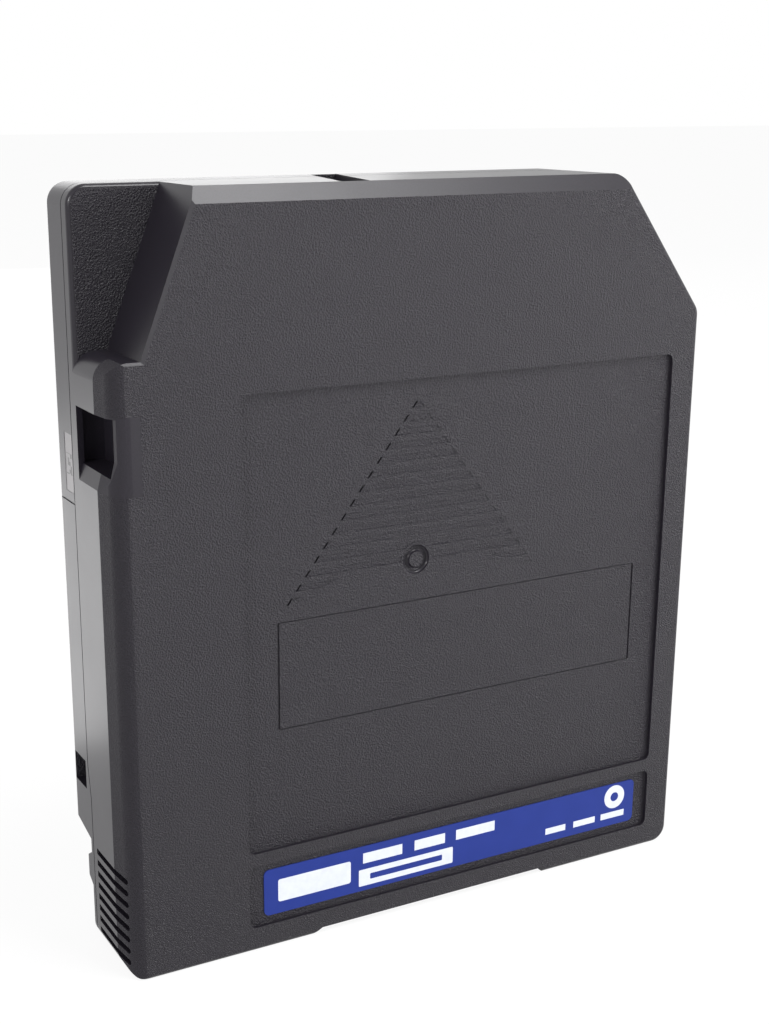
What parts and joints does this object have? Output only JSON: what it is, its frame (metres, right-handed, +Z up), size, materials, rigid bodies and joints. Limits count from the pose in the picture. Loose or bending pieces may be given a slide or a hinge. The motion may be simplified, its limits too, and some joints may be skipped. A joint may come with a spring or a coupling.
{
  "type": "data tape cartridge",
  "caption": "Single-reel half-inch data tape cartridge: two-piece case, sliding tape door, braked reel with tape, leader pin, write-protect slider and cartridge memory.",
  "frame": {"origin": "centre of the bottom edge's bounding box, where the cartridge stands on its label edge", "axes": "+X to the right seen from the front, +Y from the front face to the hub face, +Z up the insertion direction"},
  "size_m": [0.109, 0.0244, 0.125],
  "materials": {
    "front_cover": "fine grained charcoal",
    "back_cover": "fine grained charcoal",
    "front_label": "printed blue film",
    "side_label": "printed grey film",
    "case_screws": "plated steel",
    "reel_hub": "moulded",
    "upper_flange": "clear grey",
    "reel_gear_plate": "stamped steel",
    "tape_pack": "wound magnetic tape",
    "brake_button": "white acetal",
    "brake_spring": "spring steel",
    "release_plate": "filled acetal",
    "cartridge_door": "moulded dark blue",
    "door_spring": "spring steel",
    "leader_pin": "turned steel",
    "leader_pin_clamp": "moulded black",
    "leader_pin_spring_front": "spring strip",
    "leader_pin_spring_back": "spring strip",
    "tape_leader": "magnetic tape",
    "write_protect_slider": "moulded dark blue",
    "memory_board": "circuit board",
    "memory_chip": "moulded black"
  },
  "bodies": {
    "case": {"front_cover": "front_cover", "back_cover": "back_cover", "front_label": "front_label", "side_label": "side_label", "case_screws": "case_screws", "brake_spring": "brake_spring", "door_spring": "door_spring", "leader_pin": "leader_pin", "leader_pin_clamp": "leader_pin_clamp", "leader_pin_spring_front": "leader_pin_spring_front", "leader_pin_spring_back": "leader_pin_spring_back", "tape_leader": "tape_leader", "memory_board": "memory_board", "memory_chip": "memory_chip"},
    "reel": {"reel_hub": "reel_hub", "upper_flange": "upper_flange", "reel_gear_plate": "reel_gear_plate", "tape_pack": "tape_pack"},
    "brake": {"brake_button": "brake_button"},
    "release": {"release_plate": "release_plate"},
    "door": {"cartridge_door": "cartridge_door"},
    "slider": {"write_protect_slider": "write_protect_slider"}
  },
  "joints": [
    {"name": "reel_spin", "type": "hinge", "parent": "case", "child": "reel", "pos_m": [-0.002, 0, 0.064], "axis": [0, 1, 0], "continuous": true},
    {"name": "brake_lift", "type": "slide", "parent": "case", "child": "brake", "axis": [0, -1, 0], "range_m": [0, 0.0015], "stiffness_N_per_m": 300, "deforming": ["brake_spring"]},
    {"name": "release_press", "type": "slide", "parent": "reel", "child": "release", "axis": [0, -1, 0], "range_m": [0, 0.0015]},
    {"name": "door_slide", "type": "slide", "parent": "case", "child": "door", "axis": [0, 0, -1], "range_m": [0, 0.0175], "stiffness_N_per_m": 60, "deforming": ["door_spring"]},
    {"name": "write_protect_slide", "type": "slide", "parent": "case", "child": "slider", "axis": [1, 0, 0], "range_m": [0, 0.0044]}
  ],
  "couplings": [
    {"joint": "release_press", "follows": "brake_lift", "ratio": 1}
  ]
}
